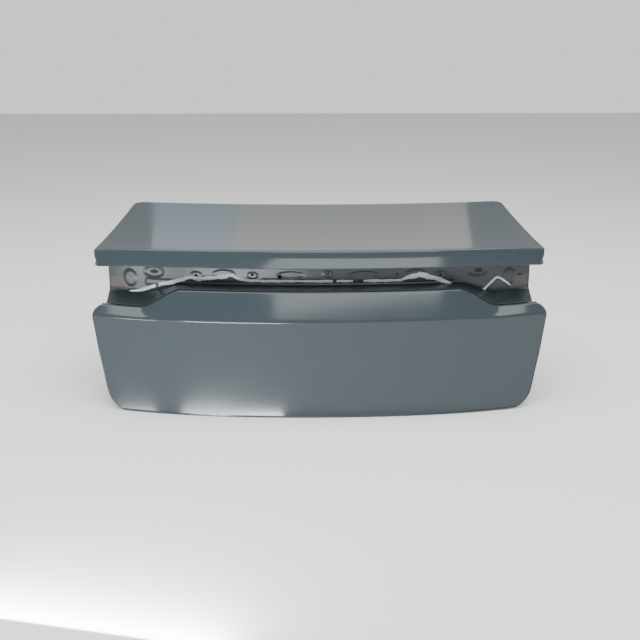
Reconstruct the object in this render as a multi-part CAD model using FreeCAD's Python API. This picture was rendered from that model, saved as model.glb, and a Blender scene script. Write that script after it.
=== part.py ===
import FreeCAD, Part
import math
import os

# Car trunk lid: an electrocoated steel body panel with a ducktail lip, a full-width recess for the
# tail lamps and a plain rear face. Millimetres. +Z up, +Y towards the front of the car, -Y is the
# rear face. The origin is the centre of the four hinge screw holes, on the plane of the hinge seats.

Vector = FreeCAD.Vector
os.makedirs("parts", exist_ok=True)

# Sheet and seams
skin_t = 0.8            # outer skins
inner_t = 0.7           # inner panel and lamp recess panel
reinforcement_t = 1.4   # hinge and latch reinforcements
bracket_t = 1.0         # corner brackets and braces
seam_gap = 0.1          # paint and sealer between two sheets of a seam
hem_width = 9.0         # flat leg of a hem
flange_width = 14.0     # inner panel's flange that the hems close on
hem_inset = 0.1         # keeps the wall of a hem just inside the cut edge of its skin
overrun = 25.0          # how far a stamping is drawn past an edge before it is trimmed there

# Overall widths and the bow of the rear in plan
half_width = 620.0
bow_square = 59.0       # forward sweep of the rear at half_width, square term
bow_fourth = 23.0       # the same, fourth-power term
deck_facets = 4         # facets of the deck's section
facet_turn = 0.6        # radians that one facet of a bend takes up
facet_length = 110.0    # longest facet of a slack curve
end_margin = 30.0       # how far the sections run past the ends of the lid before they are trimmed
lip_end_r = 26.0        # rounding of the lip's ends in plan
lip_end_cut = (575.0, -345.0)   # the ends are cut back along a line from the widest point to here

# Deck, from its front edge to the crease of the lip
front_y = 20.0
front_z = 33.0
front_bow = 70.0        # how much further forward the front corners are than the middle
front_drop = 5.0        # how much lower the front corners are than the middle
half_front = 555.0
front_corner_r = 20.0
deck_sag = -7.0         # hollow of the deck between front edge and lip
lip_y = -366.0
lip_z = -12.0
lip_arch = 8.0          # drop of the lip's crease from the middle to the ends
flank_drop = 10.0       # further drop of the flanks at the ends
flank_start = 420.0     # where the flanks begin to roll down
lip_height = 46.0
lip_height_taper = -6.0
lip_flare = 17.0        # how far the foot of the lip's face stands behind its crease
lip_face_sag = -2.2
crease_setback = 5.0
lip_foot_setback = 3.5

lip_end_run = 28.0      # how far the lip's end walls reach forward of the crease
lip_notch_run = 25.0    # where the lip's return is cut away beside the recess

# Lamp recess
recess_depth = 68.0     # from the foot of the lip's face forward to the back wall
recess_half = 588.0     # half the clear width of the recess
lip_return_rise = 4.0
weld_flange = 13.0
wall_setback = 6.0
recess_fillet = 9.0
recess_end = 4.0        # how far the recess panel stops short of the recess's end
floor_rise = 26.0       # how much the floor climbs to the wall in the end pockets

# Rear face
top_edge_y = -385.0
top_edge_z = -120.0
pocket_drop = 52.0      # how much lower the top edge runs below the end lamps
pocket_start = 372.0
pocket_end = 492.0
top_flange = 16.0
top_flange_fall = 3.0
top_setback = 6.0
swage_y = -414.0
swage_z = -197.0
swage_setback = 6.0
bottom_y = -431.0
bottom_z = -464.0
face_sag = -12.0
bottom_margin = 16.0
notch_top_z = -84.0     # underside of the inner panel beside the recess's ends
neck_z = -166.0         # where the narrow end of the recess steps out to the shoulder
neck_r = 14.0
shoulder = (624.0, -190.0)
shoulder_r = 26.0
side_mid = (611.0, -300.0)
side_low = (592.0, -396.0)
side_r = 260.0
bottom_corner = (577.0, -460.0)
bottom_corner_r = 62.0

# Inner panel
front_rail_depth = 10.0     # below the deck, at the hinges
deck_depth = 30.0           # below the deck, behind the hinges
rail_rear_y = -62.0
deck_drop_y = -98.0
upright_gap = 38.0          # from the recess's back wall forward to the inner panel's upright wall
upright_low_z = -150.0
rear_depth = 30.0           # in front of the rear face
knee_run = 62.0             # how far the inner panel drops while it runs back to the rear face

# Hinge seats
hinge_half_spacing = 430.0
hinge_half_pitch = 20.0
hinge_hole_r = 4.5
hinge_pad = (90.0, 66.0)
nut_bore_r = 4.0
nut_across = 14.0
nut_height = 7.0

# Latch seat
latch_pad = (124.0, 64.0)
latch_pad_y = -392.0
latch_pad_z = -410.0
latch_half_spacing = 38.0
latch_hole_z = -404.0
latch_slot = (44.0, 26.0)

# Holes. Each outline is a list of corners on the right; the left side mirrors it.
collar_height = 4.5
hole_r = 22.0
deck_holes = [[(36, -124), (262, -124), (262, -226), (36, -236)],
              [(300, -124), (505, -124), (505, -192), (300, -222)]]
rear_holes = [[(96, -294), (300, -294), (300, -424), (96, -424)],
              [(336, -304), (528, -304), (520, -420), (336, -424)]]
upright_holes = [(150.0, -96.0, 17.0), (455.0, -112.0, 15.0)]
lamp_holes = [(215.0, -98.0), (325.0, -98.0), (528.0, -112.0)]
lamp_hole_r = 3.5
oval_hole = (436.0, -88.0, 15.0, 7.0)
plug_hole = (110.0, -98.0, 13.0)

# Small pieces
weld_gap = 0.05
reinforcement_rise = 8.0
lamp_nut_across = 10.0
brace_places = {"left": -290.0, "centre": 0.0, "right": 290.0}
brace_width = 44.0
brace_z = -94.0
brace_flange = 20.0
corner_bracket_reach = (532.0, 580.0)
deck_mastic_places = [(0, -10), (150, -8), (290, 6), (0, -180), (281, -172)]
rear_mastic_places = [(0, -300), (198, -272), (318, -362), (430, -284)]
mastic_r = 10.0
sealer_half_run = 520.0


def share(x):
    """Distance from the middle plane as a share of the half width."""
    return x / half_width


def bow(x):
    return bow_square * share(x) ** 2 + bow_fourth * share(x) ** 4


def smooth_step(low, high, value):
    s = min(1.0, max(0.0, (value - low) / (high - low)))
    return s * s * (3.0 - 2.0 * s)


def pocket(x):
    """0 below the middle lamp, 1 below the end lamps."""
    return smooth_step(pocket_start, pocket_end, abs(x))


def flank(x):
    return flank_drop * max(0.0, (abs(x) - flank_start) / (half_width - flank_start)) ** 2


# A section is a chain of quadratic curves (start, control, end), worked out in the YZ plane.
def chain(corners):
    """Curves through corners (y, z, setback, sag): sag bends the span that follows, setback rounds the corner."""
    spans = []
    for (y0, z0, _, sag), (y1, z1, _, _) in zip(corners, corners[1:]):
        length = math.hypot(y1 - y0, z1 - z0)
        side_y, side_z = (z1 - z0) / length, -(y1 - y0) / length
        middle = ((y0 + y1) / 2 + 2 * sag * side_y, (z0 + z1) / 2 + 2 * sag * side_z)
        spans.append(((y0, z0), middle, (y1, z1), length))
    curves = []
    for i, (start, middle, end, length) in enumerate(spans):
        low = corners[i][2] / length
        high = 1.0 - corners[i + 1][2] / length
        curves.append(part_of((start, middle, end), low, high))
    rounded = [curves[0]]
    for curve in curves[1:]:
        last = rounded[-1]
        if distance(last[2], curve[0]) > 1e-6:
            rounded.append((last[2], crossing(last[1], last[2], curve[1], curve[0]), curve[0]))
        rounded.append(curve)
    return rounded


def distance(a, b):
    return math.hypot(a[0] - b[0], a[1] - b[1])


def toward(a, b):
    length = distance(a, b)
    return ((b[0] - a[0]) / length, (b[1] - a[1]) / length)


def between(a, b, t):
    return (a[0] + (b[0] - a[0]) * t, a[1] + (b[1] - a[1]) * t)


def part_of(curve, low, high):
    """The stretch of a quadratic curve from parameter low to high."""
    a, c, b = curve
    start = between(between(a, c, low), between(c, b, low), low)
    end = between(between(a, c, high), between(c, b, high), high)
    control = between(between(a, c, low), between(c, b, low), high)
    return (start, control, end)


def crossing(a0, a1, b0, b1):
    """Where the line a0-a1 meets the line b0-b1, or halfway if they are nearly parallel."""
    ay, az = a1[0] - a0[0], a1[1] - a0[1]
    by, bz = b1[0] - b0[0], b1[1] - b0[1]
    cross = ay * bz - az * by
    if abs(cross) < 1e-9 * math.hypot(ay, az) * math.hypot(by, bz) + 1e-12:
        return between(a1, b1, 0.5)
    t = ((b0[0] - a0[0]) * bz - (b0[1] - a0[1]) * by) / cross
    return (a0[0] + ay * t, a0[1] + az * t)


def offset_point(point, toward, depth):
    """point moved by depth to the left of the direction toward."""
    length = math.hypot(*toward)
    return (point[0] - toward[1] / length * depth, point[1] + toward[0] / length * depth)


def offset_chain(curves, depth):
    """The chain moved by depth to the left of its direction."""
    moved = []
    for a, c, b in curves:
        leave = (c[0] - a[0], c[1] - a[1])
        arrive = (b[0] - c[0], b[1] - c[1])
        start, end = offset_point(a, leave, depth), offset_point(b, arrive, depth)
        turn = abs(leave[0] * arrive[1] - leave[1] * arrive[0])
        if turn < 1e-4 * math.hypot(*leave) * math.hypot(*arrive):
            control = between(start, end, 0.5)
        else:
            control = crossing(start, (start[0] + leave[0], start[1] + leave[1]),
                               (end[0] - arrive[0], end[1] - arrive[1]), end)
        moved.append((start, control, end))
    return moved


def straight(a, b):
    return (a, between(a, b, 0.5), b)


def ring_of(chain_a, chain_b):
    """One closed chain: chain_a forwards, then chain_b backwards."""
    back = [(b, c, a) for a, c, b in reversed(chain_b)]
    return (chain_a + [straight(chain_a[-1][2], back[0][0])]
            + back + [straight(back[-1][2], chain_a[0][0])])


def facets_needed(curve):
    """How many flat facets stand in for a curve: by its turn where it is tight, by its length where it is slack."""
    a, c, b = curve
    before, after = toward(a, c), toward(c, b)
    turn = abs(math.atan2(before[0] * after[1] - before[1] * after[0],
                          before[0] * after[0] + before[1] * after[1]))
    if turn < 0.004:
        return 1
    return max(math.ceil(turn / facet_turn), math.ceil(distance(a, b) / facet_length))


def facet_points(curve, count):
    """The points that start each of count facets along a curve."""
    a, c, b = curve
    return [between(between(a, c, i / count), between(c, b, i / count), i / count) for i in range(count)]


def lofted(ring_at, places=None):
    """A solid through closed chains at stations along X, in flat facets of the same number at each."""
    places = places or stations
    all_rings = [ring_at(x) for x in stations]
    counts = [max(facets_needed(ring[i]) for ring in all_rings) for i in range(len(all_rings[0]))]
    rings = [ring_at(x) for x in places]
    wires = []
    for x, ring in zip(places, rings):
        points = [Vector(x, *point) for curve, count in zip(ring, counts)
                  for point in facet_points(curve, count)]
        wires.append(Part.makePolygon(points + points[:1]))
    return Part.makeLoft(wires, True, True)


def sheet(path, near, far, places=None):
    """A stamped sheet that follows path, from depth near to depth far below its outer side."""
    return lofted(lambda x: ring_of(offset_chain(path(x), near), offset_chain(path(x), far)), places)


def mirrored_stations(steps):
    return [-x for x in reversed(steps) if x > 0] + list(steps)


# Every stamping takes its sections at the same stations, so that two sheets of a seam run alike.
stations = mirrored_stations([0, 90, 180, 270, 340, 390, 420, 450, 490, 540, 586, half_width + end_margin])


# Section of the upper skin: front hem, deck, lip, its return and the weld flange of the recess
def front_edge(x):
    across = (x / half_front) ** 2
    return (front_y + front_bow * across, front_z - front_drop * across)


def lip_crease(x):
    return (lip_y + bow(x), lip_z - lip_arch * share(x) ** 2 - flank(x))


def lip_foot(x):
    y, z = lip_crease(x)
    height = lip_height + lip_height_taper * share(x) ** 2
    return (y - lip_flare, z - height)


def wall_top(x):
    y, z = lip_foot(x)
    return (y + recess_depth, z + lip_return_rise)


hem_stack = 2 * skin_t + inner_t + 2 * seam_gap


def deck_control(x):
    """Control point of the deck's curve between its front edge and the lip's crease."""
    front, crease = front_edge(x), lip_crease(x)
    along = toward(front, crease)
    middle = between(front, crease, 0.5)
    return (middle[0] + 2 * deck_sag * along[1], middle[1] - 2 * deck_sag * along[0])


def deck_points(x):
    """The deck from its front edge to the crease of the lip, at the ends of its facets."""
    front, crease, control = front_edge(x), lip_crease(x), deck_control(x)
    shares = [i / deck_facets for i in range(deck_facets + 1)]
    return [between(between(front, control, t), between(control, crease, t), t) for t in shares]


def before_deck(x):
    """A point ahead of the front edge, where the stamping is drawn past it."""
    front, following = deck_points(x)[:2]
    along = toward(following, front)
    return (front[0] + along[0] * overrun, front[1] + along[1] * overrun)


def upper_path(x):
    wy, wz = wall_top(x)
    points = [before_deck(x)] + deck_points(x)[:-1]
    return chain([(*point, 0, 0) for point in points] + [
        (*lip_crease(x), crease_setback, lip_face_sag),
        (*lip_foot(x), lip_foot_setback, 0),
        (wy, wz, wall_setback, 0),
        (wy, wz - weld_flange, 0, 0),
    ])


def top_edge(x):
    return (top_edge_y + bow(x), top_edge_z - pocket_drop * pocket(x))


def lower_path(x):
    ey, ez = top_edge(x)
    shift = bow(x)
    ky, kz = swage_y + shift, swage_z
    ny, nz = bottom_y + shift, bottom_z
    slope = (ny - ky) / (nz - kz)
    return chain([
        (ey + top_flange, ez - top_flange_fall, 0, 0),
        (ey, ez, top_setback, 0),
        (ky, kz, swage_setback, face_sag),
        (ny + slope * -bottom_margin, nz - bottom_margin, 0, 0),
    ])


# The recess panel stands in front of the upper skin's weld flange and under the lower skin's top flange.
def under_top_flange(x, run):
    """A point just below the lower skin's top flange, run forward of its rear edge."""
    ey, ez = top_edge(x)
    return (ey + run, ez - top_flange_fall * run / top_flange - skin_t - 1.5 * seam_gap)


def recess_foot(x):
    """Where the recess's back wall meets its floor."""
    return (wall_top(x)[0] + skin_t + seam_gap, top_edge(x)[1] - top_flange_fall + floor_rise * pocket(x))


def recess_path(x):
    wy, wz = recess_foot(x)[0], wall_top(x)[1]
    return chain([
        (wy, wz - wall_setback, 0, 0),
        (*recess_foot(x), recess_fillet, 0),
        (*under_top_flange(x, top_flange + 4), 3.0, 0),
        (*under_top_flange(x, top_setback + 1), 0, 0),
    ])


# Outlines that trim the stampings: the lid seen from above and from behind
def rounded(corners):
    """The arc (start, middle, end) of each corner (u, v, radius) of a closed outline."""
    arcs = []
    for i, (u, v, radius) in enumerate(corners):
        last, following = corners[i - 1], corners[(i + 1) % len(corners)]
        back, ahead = toward((u, v), last), toward((u, v), following)
        half_angle = math.acos(back[0] * ahead[0] + back[1] * ahead[1]) / 2
        run = radius / math.tan(half_angle)
        inwards = toward((0, 0), (back[0] + ahead[0], back[1] + ahead[1]))
        reach = radius / math.sin(half_angle) - radius
        arcs.append(((u + back[0] * run, v + back[1] * run),
                     (u + inwards[0] * reach, v + inwards[1] * reach),
                     (u + ahead[0] * run, v + ahead[1] * run)))
    return arcs


def outline_face(corners, place, crown=None):
    """Flat face of a rounded outline. With a crown, the side about the first corner is an arc through it."""
    arcs = rounded(corners)
    edges = []
    for i, (start, middle, end) in enumerate(arcs):
        if crown and i == 0:
            continue
        if distance(start, end) > 1e-6:
            edges.append(Part.Arc(place(start), place(middle), place(end)).toShape())
        j = (i + 1) % len(arcs)
        if crown and j == 0:
            edges.append(Part.Arc(place(end), place(crown), place(arcs[1][0])).toShape())
        else:
            edges.append(Part.LineSegment(place(end), place(arcs[j][0])).toShape())
    return Part.Face(Part.Wire(edges))


def both_sides(right):
    return right + [(-u, v, r) for u, v, r in reversed(right)]


def plan_face():
    right = [(half_front, front_y + front_bow, front_corner_r),
             (half_width, lip_y + bow(half_width), lip_end_r),
             (*lip_end_cut, 0), (lip_end_cut[0], -560.0, 0)]
    return outline_face([(0, front_y - front_bow, 0)] + both_sides(right),
                        lambda p: Vector(p[0], p[1], -560), crown=(0, front_y))


def rear_face():
    right = [(*bottom_corner, bottom_corner_r), (*side_low, side_r), (*side_mid, side_r),
             (*shoulder, shoulder_r), (recess_half, neck_z, neck_r), (recess_half, notch_top_z, 0),
             (720.0, notch_top_z, 0), (720.0, 200.0, 0)]
    return outline_face([(0, 2 * bottom_z - bottom_corner[1], 0)] + both_sides(right),
                        lambda p: Vector(p[0], -560, p[1]), crown=(0, bottom_z))


def plan_prism(inset=0.0):
    face = plan_face()
    if inset:
        face = face.makeOffset2D(-inset)
    return face.extrude(Vector(0, 0, 760))


def rear_prism(inset=0.0):
    face = rear_face()
    if inset:
        face = face.makeOffset2D(-inset)
    return face.extrude(Vector(0, 760, 0))


def box(low, high):
    return Part.makeBox(high[0] - low[0], high[1] - low[1], high[2] - low[2], Vector(*low))


def both_boxes(low, high):
    """A box on the right and its mirror image on the left."""
    return box(low, high).fuse(box((-high[0], low[1], low[2]), (-low[0], high[1], high[2])))


def one_solid(shape):
    """The largest solid of a result, without the slivers that trimming leaves."""
    return max(shape.Solids, key=lambda solid: solid.Volume)


def to_y(curve, y):
    """Parameter at which a curve that runs rearwards reaches y."""
    low, high = 0.0, 1.0
    for _ in range(40):
        middle = (low + high) / 2
        at = between(between(curve[0], curve[1], middle), between(curve[1], curve[2], middle), middle)[0]
        low, high = (middle, high) if at > y else (low, middle)
    return low


def deck_to(x, y):
    """The deck's facets as far rearwards as y, which lies in the last of them."""
    points = [before_deck(x)] + deck_points(x)
    facets = [straight(a, b) for a, b in zip(points, points[1:])]
    return facets[:-1] + [part_of(facets[-1], 0.0, to_y(facets[-1], y))]


def hemmed(skin, path, prism_of):
    """Fold the edge of a skin under: a wall just inside its cut edge, and a flat leg below it."""
    wall_slab = sheet(path, skin_t / 2, hem_stack - skin_t / 2)
    leg_slab = sheet(path, hem_stack - skin_t, hem_stack)
    wall = wall_slab.common(prism_of(hem_inset)).cut(prism_of(hem_inset + skin_t))
    leg = leg_slab.common(prism_of(hem_inset / 2)).cut(prism_of(hem_width))
    return skin.fuse([wall, leg])


# Upper skin
def lip_end_ring(x):
    """The hollow of the lip, from a little ahead of its crease, that its end walls close."""
    path = offset_chain(upper_path(x), skin_t / 2)
    front_of_lip = lip_crease(x)[0] + lip_end_run
    deck, crease, *face, foot, lip_return = path[deck_facets:-2]
    return [part_of(deck, to_y(deck, front_of_lip), 1.0), crease, *face, foot,
            straight(lip_return[0], (front_of_lip, lip_return[0][1] + lip_return_rise * 0.5))]


def outer_upper():
    skin = sheet(upper_path, 0, skin_t).common(plan_prism())
    notch_y = lip_y + bow(recess_half) - lip_flare + lip_notch_run
    skin = skin.cut(both_boxes((recess_half, notch_y, -260), (720, 200, lip_z - lip_height + 4)))
    skin = hemmed(skin, lambda x: deck_to(x, lip_crease(x)[0] + 12), plan_prism)

    def closed(x):
        ring = lip_end_ring(x)
        return ring + [straight(ring[-1][2], ring[0][0])]

    ends = lofted(closed).common(plan_prism(hem_inset)).cut(plan_prism(hem_inset + skin_t))
    return one_solid(skin.fuse(ends))


# Lower skin
def outer_lower():
    skin = sheet(lower_path, 0, skin_t).common(rear_prism())
    return one_solid(hemmed(skin, lambda x: lower_path(x)[2:], rear_prism))


# Lamp recess
def neighbours(x):
    """The two stations that x lies between."""
    return max(s for s in stations if s <= x), min(s for s in stations if s > x)


def wall_frame(x):
    """Where the visible side of the recess's back wall stands at x, and the way its front side faces."""
    low, high = neighbours(x)
    start = recess_foot(low)[0]
    slope = (recess_foot(high)[0] - start) / (high - low)
    length = math.hypot(slope, 1.0)
    return start + slope * (x - low), (-slope / length, 1.0 / length, 0.0)


def wall_hole(x, z, radius):
    y, way = wall_frame(x)
    start = (x - way[0] * 6, y - way[1] * 6, z)
    return cylinder(radius, start, way, 14)


def wall_slot(x, z, wide, high):
    """An oval hole in the back wall."""
    y = recess_foot(x)[0]
    face = outline_face([(x + wide, z - high, high * 0.98), (x + wide, z + high, high * 0.98),
                         (x - wide, z + high, high * 0.98), (x - wide, z - high, high * 0.98)],
                        lambda p: Vector(p[0], y - 12, p[1]))
    return face.extrude(Vector(0, 24, 0))


def both(places):
    return [(side * place[0], *place[1:]) for place in places for side in (-1, 1)]


def recess_panel():
    panel = sheet(recess_path, 0, inner_t)
    panel = panel.common(box((recess_end - recess_half, -560, -300), (recess_half - recess_end, 200, 100)))
    holes = [wall_hole(x, z, lamp_hole_r) for x, z in both(lamp_holes)]
    holes += [wall_hole(*place) for place in both([plug_hole])]
    holes += [wall_slot(*place) for place in both([oval_hole])]
    return one_solid(panel.cut(holes))


# Inner panel: the wall of a hollow between the outer skins and the inner path
def deck_z(x, y):
    """Height of the deck's outer side."""
    return deck_to(x, y)[-1][2][1] if y < deck_points(x)[-2][0] else deck_between(x, y)


def deck_between(x, y):
    for a, b in zip(deck_points(x), deck_points(x)[1:]):
        if a[0] >= y >= b[0]:
            return between(a, b, (a[0] - y) / (a[0] - b[0]))[1]
    return before_deck(x)[1]


def rear_y(x, z):
    """Where the rear face stands at a height, taken as the chord from the swage to the bottom."""
    t = (z - swage_z) / (bottom_z - swage_z)
    return swage_y + (bottom_y - swage_y) * t + 4 * face_sag * t * (1 - t) + bow(x)


def hollow_outer(x, clear):
    """Along the upper skin, around the recess panel, then along the lower skin, clear of their inner sides."""
    clear += skin_t
    recess = offset_chain(recess_path(x), clear)
    deck = offset_chain(deck_to(x, recess[0][0][0] + 0.15 * clear), clear)
    lower = offset_chain(lower_path(x)[2:], clear)
    return (deck + [straight(deck[-1][2], recess[0][0])] + recess
            + [straight(recess[-1][2], lower[0][0])] + lower)


def inner_path(x):
    fy, fz = front_edge(x)
    upright_y = recess_foot(x)[0] + upright_gap
    low_z = upright_low_z - pocket_drop * pocket(x)
    knee_z = low_z - knee_run
    end_z = bottom_z - bottom_margin
    return chain([
        (fy + overrun, deck_z(x, fy) + overrun * 0.2 - front_rail_depth, 0, 0),
        (rail_rear_y, deck_z(x, rail_rear_y) - front_rail_depth, 10, 0),
        (deck_drop_y, deck_z(x, deck_drop_y) - deck_depth, 10, 0),
        (upright_y, deck_z(x, upright_y) - deck_depth, 22, 0),
        (upright_y, low_z, 22, 0),
        (rear_y(x, knee_z) + rear_depth, knee_z, 22, face_sag * 0.8),
        (rear_y(x, bottom_z) + rear_depth, end_z, 0, 0),
    ])


def hollow(skin_clear, inner_clear):
    """The space between the outer skins and the inner path."""
    return lofted(lambda x: ring_of(hollow_outer(x, skin_clear),
                                    offset_chain(inner_path(x), -inner_clear)))


def shell(skin_clear, inner_clear, inset):
    """The hollow, trimmed all round, with the hinge and latch seats standing out of it."""
    body = hollow(skin_clear, inner_clear)
    pad_x, pad_y = hinge_pad[0] / 2 - inner_clear, hinge_pad[1] / 2 - inner_clear
    for side in (-1, 1):
        middle = side * hinge_half_spacing
        body = body.fuse(box((middle - pad_x, -pad_y, inner_clear), (middle + pad_x, pad_y, 12)))
    latch_x, latch_z = latch_pad[0] / 2 - inner_clear, latch_pad[1] / 2 - inner_clear
    body = body.fuse(box((-latch_x, latch_pad_y - 20, latch_pad_z - latch_z),
                         (latch_x, latch_pad_y - inner_clear, latch_pad_z + latch_z)))
    return body.common(plan_prism(inset)).common(rear_prism(inset))


def flanges():
    """The rim that the hems close on, and the end flanges behind the lamp recess."""
    near, far = skin_t + seam_gap, skin_t + seam_gap + inner_t
    deck_slab = sheet(lambda x: deck_to(x, lip_crease(x)[0] + 50), near, far)
    rear_slab = sheet(lambda x: lower_path(x)[2:], near, far)
    end_slab = sheet(lambda x: recess_path(x)[:2], near, far)
    root = flange_width + inner_t / 2
    deck_rim = deck_slab.common(plan_prism(2 * hem_inset + skin_t)).cut(plan_prism(root))
    rear_rim = rear_slab.common(rear_prism(2 * hem_inset + skin_t)).cut(rear_prism(root))
    reach = recess_half - recess_end - 1
    ends = end_slab.common(both_boxes((recess_half - root, -560, -300), (reach, 200, notch_top_z - 2)))
    return [deck_rim, rear_rim, ends]


def flat_outline(corners, place):
    return outline_face([(u, v, hole_r) for u, v in corners], place)


def mirror_corners(corners):
    return [(-u, v) for u, v in reversed(corners)]


def hole_prism(corners, in_deck, inset):
    """A rounded opening, run through the deck side or through the rear side of the inner panel."""
    if in_deck:
        face = flat_outline(corners, lambda p: Vector(p[0], p[1], -90)).makeOffset2D(-inset)
        return face.extrude(Vector(0, 0, 110))
    face = flat_outline(corners, lambda p: Vector(p[0], -520, p[1])).makeOffset2D(-inset)
    return face.extrude(Vector(0, 250, 0))


def cylinder(radius, start, way, height):
    return Part.makeCylinder(radius, height, Vector(*start), Vector(*way))


def hinge_screw_places():
    return [(sx * hinge_half_spacing, sy * hinge_half_pitch) for sx in (-1, 1) for sy in (-1, 1)]


def latch_holes(radius, start, length):
    holes = [cylinder(radius, (sx * latch_half_spacing, start, latch_hole_z), (0, 1, 0), length)
             for sx in (-1, 1)]
    wide, high = latch_slot[0] / 2, latch_slot[1] / 2
    slot = outline_face([(wide, latch_pad_z - high, 9), (wide, latch_pad_z + high, 9),
                         (-wide, latch_pad_z + high, 9), (-wide, latch_pad_z - high, 9)],
                        lambda p: Vector(p[0], start, p[1])).extrude(Vector(0, length, 0))
    return holes + [slot]


def inner_panel():
    panel = shell(seam_gap / 2, 0, flange_width).cut(shell(-0.5, inner_t, flange_width + inner_t))
    openings, rings = [], []
    for group, in_deck in ((deck_holes, True), (rear_holes, False)):
        for corners in group:
            for outline in (corners, mirror_corners(corners)):
                openings.append(hole_prism(outline, in_deck, inner_t / 2))
                rings.append(hole_prism(outline, in_deck, 0.05).cut(hole_prism(outline, in_deck, inner_t)))
    collar_slab = sheet(inner_path, -inner_t / 2, -collar_height)
    collars = [collar_slab.common(ring) for ring in rings]
    for x, z, radius in upright_holes:
        y = recess_foot(x)[0] + upright_gap
        openings += [cylinder(radius, (side * x, y - 15, z), (0, 1, 0), 30) for side in (-1, 1)]
    openings += [cylinder(hinge_hole_r, (x, y, -5), (0, 0, 1), 8) for x, y in hinge_screw_places()]
    openings += latch_holes(hinge_hole_r, latch_pad_y - 4, 8)
    return one_solid(panel.cut(openings).fuse(flanges() + collars))


# Reinforcements and fasteners
def bent_plate(corners, thickness, place, way):
    """A strip bent along corners (u, v, bend), run out along way. The thickness lies to its left."""
    path = chain([(u, v, bend, 0) for u, v, bend in corners])
    ring = ring_of(path, offset_chain(path, thickness))
    points = [place(point) for curve in ring for point in facet_points(curve, facets_needed(curve))]
    return Part.Face(Part.makePolygon(points + points[:1])).extrude(Vector(*way))


def hinge_reinforcement(side):
    seat = inner_t + seam_gap
    middle = side * hinge_half_spacing
    half = hinge_pad[0] / 2 - 6
    depth = hinge_pad[1] / 2 - 5
    left, right = middle - half, middle + half
    plate = bent_plate([(left, seat + reinforcement_rise, 0), (left, seat, 4), (right, seat, 4),
                        (right, seat + reinforcement_rise, 0)],
                       reinforcement_t, lambda p: Vector(p[0], -depth, p[1]), (0, 2 * depth, 0))
    holes = [cylinder(hinge_hole_r, (x, y, -5), (0, 0, 1), 15)
             for x, y in hinge_screw_places() if x * side > 0]
    holes.append(cylinder(9.0, (middle, 0, -5), (0, 0, 1), 15))
    return plate.cut(holes)


def hexagon_nut(start, way, across):
    """A weld nut that stands on start, with its pilot flush with its seat."""
    axis = Vector(*way)
    side = Vector(1, 0, 0)
    side = (side - axis * side.dot(axis)).normalize()
    other = axis.cross(side)
    reach = across / math.sqrt(3)
    points = [Vector(*start) + side * (reach * math.cos(math.radians(60 * i)))
              + other * (reach * math.sin(math.radians(60 * i))) for i in range(7)]
    return Part.Face(Part.makePolygon(points)).extrude(axis * nut_height)


def weld_nut(start, way, across, bore):
    nut = hexagon_nut(start, way, across)
    return nut.cut(cylinder(bore, [s - 2 * w for s, w in zip(start, way)], way, nut_height + 4))


def hinge_weld_nuts():
    seat = inner_t + seam_gap + reinforcement_t + weld_gap
    return Part.makeCompound([weld_nut((x, y, seat), (0, 0, 1), nut_across, nut_bore_r)
                              for x, y in hinge_screw_places()])


def latch_reinforcement():
    seat = latch_pad_y - inner_t - seam_gap
    half_x, half_z = latch_pad[0] / 2 - 6, latch_pad[1] / 2 - 4
    plate = bent_plate([(seat - 8, latch_pad_z + half_z, 0), (seat, latch_pad_z + half_z, 4),
                        (seat, latch_pad_z - half_z, 4), (seat - 8, latch_pad_z - half_z, 0)],
                       -reinforcement_t, lambda p: Vector(-half_x, p[0], p[1]), (2 * half_x, 0, 0))
    return plate.cut(latch_holes(hinge_hole_r, seat - 20, 40))


def latch_weld_nuts():
    seat = latch_pad_y - inner_t - seam_gap - reinforcement_t - weld_gap
    return Part.makeCompound([weld_nut((side * latch_half_spacing, seat, latch_hole_z), (0, -1, 0),
                                       nut_across, nut_bore_r) for side in (-1, 1)])


def lamp_weld_nuts():
    nuts = []
    for x, z in both(lamp_holes):
        y, way = wall_frame(x)
        stand = inner_t + weld_gap
        start = (x + way[0] * stand, y + way[1] * stand, z)
        nuts.append(weld_nut(start, way, lamp_nut_across, lamp_hole_r - 0.5))
    return Part.makeCompound(nuts)


def cut_to(low, high, path, near, far):
    """A sheet between two cuts across the lid."""
    first, last = neighbours(low)[0], neighbours(high)[1]
    places = [x for x in stations if first <= x <= last]
    return one_solid(sheet(path, near, far, places).common(box((low, -560, -400), (high, 200, 100))))


def corner_bracket(side):
    """A pressed shelf that lies on the recess's floor at its end and turns up its back wall."""
    low, high = sorted(side * reach for reach in corner_bracket_reach)

    def path(x):
        wall, fillet, floor = recess_path(x)[:3]
        return [part_of(wall, 0.6, 1.0), fillet, part_of(floor, 0.0, 0.8)]

    plate = cut_to(low, high, path, -seam_gap - bracket_t, -seam_gap)
    middle = (low + high) / 2
    floor_y = between(recess_foot(middle), under_top_flange(middle, top_flange), 0.5)[0]
    return plate.cut([cylinder(6.0, (middle, floor_y, -250), (0, 0, 1), 120)])


def brace(place):
    """A folded strip that ties the recess's back wall to the inner panel's upright wall."""
    middle = brace_places[place]

    def path(x):
        on_recess = recess_foot(x)[0] + inner_t + seam_gap
        on_upright = recess_foot(x)[0] + upright_gap - inner_t - seam_gap - bracket_t
        return chain([(on_recess, brace_z + brace_flange, 0, 0), (on_recess, brace_z, 4, 0),
                      (on_upright, brace_z, 4, 0), (on_upright, brace_z - brace_flange, 0, 0)])

    return cut_to(middle - brace_width / 2, middle + brace_width / 2, path, 0, bracket_t)


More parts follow.
